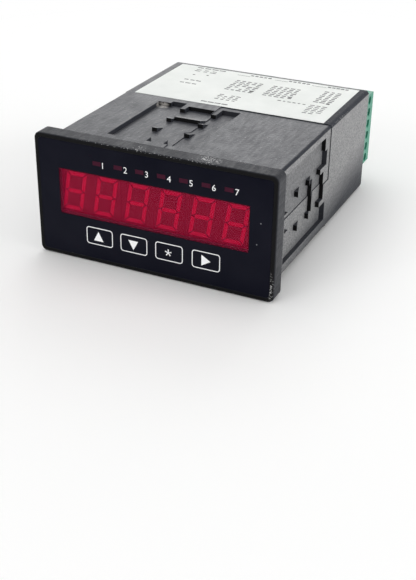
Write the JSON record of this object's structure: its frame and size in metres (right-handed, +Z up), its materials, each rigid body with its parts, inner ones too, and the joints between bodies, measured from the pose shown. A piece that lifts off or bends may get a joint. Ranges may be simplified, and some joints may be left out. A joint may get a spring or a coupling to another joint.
{
  "type": "digital panel meter",
  "caption": "Panel-mounted digital meter: black case, red numeric display behind a window, membrane keys, clamp racks and pluggable rear terminals.",
  "frame": {"origin": "centre of the panel seat, the plane of the bezel's back", "axes": "+X to the right seen from the front, +Y to the rear into the panel, +Z up"},
  "size_m": [0.096, 0.119, 0.048],
  "materials": {
    "case_plastic": "fine spark-eroded texture",
    "film": "satin printed film",
    "red_window": "tinted acrylic, matt",
    "light_guide": "tinted acrylic",
    "module_body": "moulded",
    "segment": "cast resin",
    "circuit_board": "solder mask",
    "steel": "zinc plated",
    "led": "moulded",
    "switch_plastic": "moulded",
    "stem_plastic": "moulded",
    "connector_plastic": "moulded",
    "chip": "moulded",
    "terminal_green": "moulded",
    "tinned_brass": "tinned",
    "relay_plastic": "moulded",
    "component_plastic": "moulded",
    "core_steel": "laminated",
    "winding_tape": "taped",
    "capacitor_sleeve": "shrink sleeve",
    "fuse_glass": "clear",
    "label": "satin"
  },
  "bodies": {
    "meter": {"case": "case_plastic", "front_film": "film", "window_filter": "red_window", "indicator_light_guide": "light_guide", "display_board": "circuit_board", "indicator_leds": "led", "key_switch_bodies": "switch_plastic", "stack_connectors": "connector_plastic", "processor_board": "circuit_board", "processor_chip": "chip", "card_sockets": "connector_plastic", "input_components": "component_plastic", "relays_b": "relay_plastic", "relays_c": "relay_plastic", "transformer_core": "core_steel", "transformer_coil": "winding_tape", "filter_capacitors": "capacitor_sleeve", "fuse": "fuse_glass", "fuse_clips": "tinned_brass", "rear_panel": "case_plastic", "rear_panel_screws": "steel", "wiring_label": "label", "digit_module_1": "module_body", "digit_segments_1": "segment", "digit_module_2": "module_body", "digit_segments_2": "segment", "digit_module_3": "module_body", "digit_segments_3": "segment", "card_board_a": "circuit_board", "terminal_header_a": "terminal_green", "header_pins_a": "tinned_brass", "card_board_b": "circuit_board", "terminal_header_b": "terminal_green", "header_pins_b": "tinned_brass", "card_board_c": "circuit_board", "terminal_header_c": "terminal_green", "header_pins_c": "tinned_brass", "card_board_d": "circuit_board", "terminal_header_d": "terminal_green", "header_pins_d": "tinned_brass"},
    "key_up": {"key_stem_up": "stem_plastic"},
    "key_down": {"key_stem_down": "stem_plastic"},
    "key_star": {"key_stem_star": "stem_plastic"},
    "key_right": {"key_stem_right": "stem_plastic"},
    "plug_a": {"terminal_plug_a": "terminal_green", "plug_screws_a": "steel", "plug_clamps_a": "tinned_brass"},
    "plug_b": {"terminal_plug_b": "terminal_green", "plug_screws_b": "steel", "plug_clamps_b": "tinned_brass"},
    "plug_c": {"terminal_plug_c": "terminal_green", "plug_screws_c": "steel", "plug_clamps_c": "tinned_brass"},
    "plug_d": {"terminal_plug_d": "terminal_green", "plug_screws_d": "steel", "plug_clamps_d": "tinned_brass"}
  },
  "joints": [
    {"name": "key_up_press", "type": "slide", "parent": "meter", "child": "key_up", "axis": [0, 1, 0], "range_m": [0, 0.00025], "stiffness_N_per_m": 4000},
    {"name": "key_down_press", "type": "slide", "parent": "meter", "child": "key_down", "axis": [0, 1, 0], "range_m": [0, 0.00025], "stiffness_N_per_m": 4000},
    {"name": "key_star_press", "type": "slide", "parent": "meter", "child": "key_star", "axis": [0, 1, 0], "range_m": [0, 0.00025], "stiffness_N_per_m": 4000},
    {"name": "key_right_press", "type": "slide", "parent": "meter", "child": "key_right", "axis": [0, 1, 0], "range_m": [0, 0.00025], "stiffness_N_per_m": 4000},
    {"name": "plug_a_pull", "type": "slide", "parent": "meter", "child": "plug_a", "axis": [0, 1, 0], "range_m": [0, 0.012]},
    {"name": "plug_b_pull", "type": "slide", "parent": "meter", "child": "plug_b", "axis": [0, 1, 0], "range_m": [0, 0.012]},
    {"name": "plug_c_pull", "type": "slide", "parent": "meter", "child": "plug_c", "axis": [0, 1, 0], "range_m": [0, 0.012]},
    {"name": "plug_d_pull", "type": "slide", "parent": "meter", "child": "plug_d", "axis": [0, 1, 0], "range_m": [0, 0.012]}
  ]
}
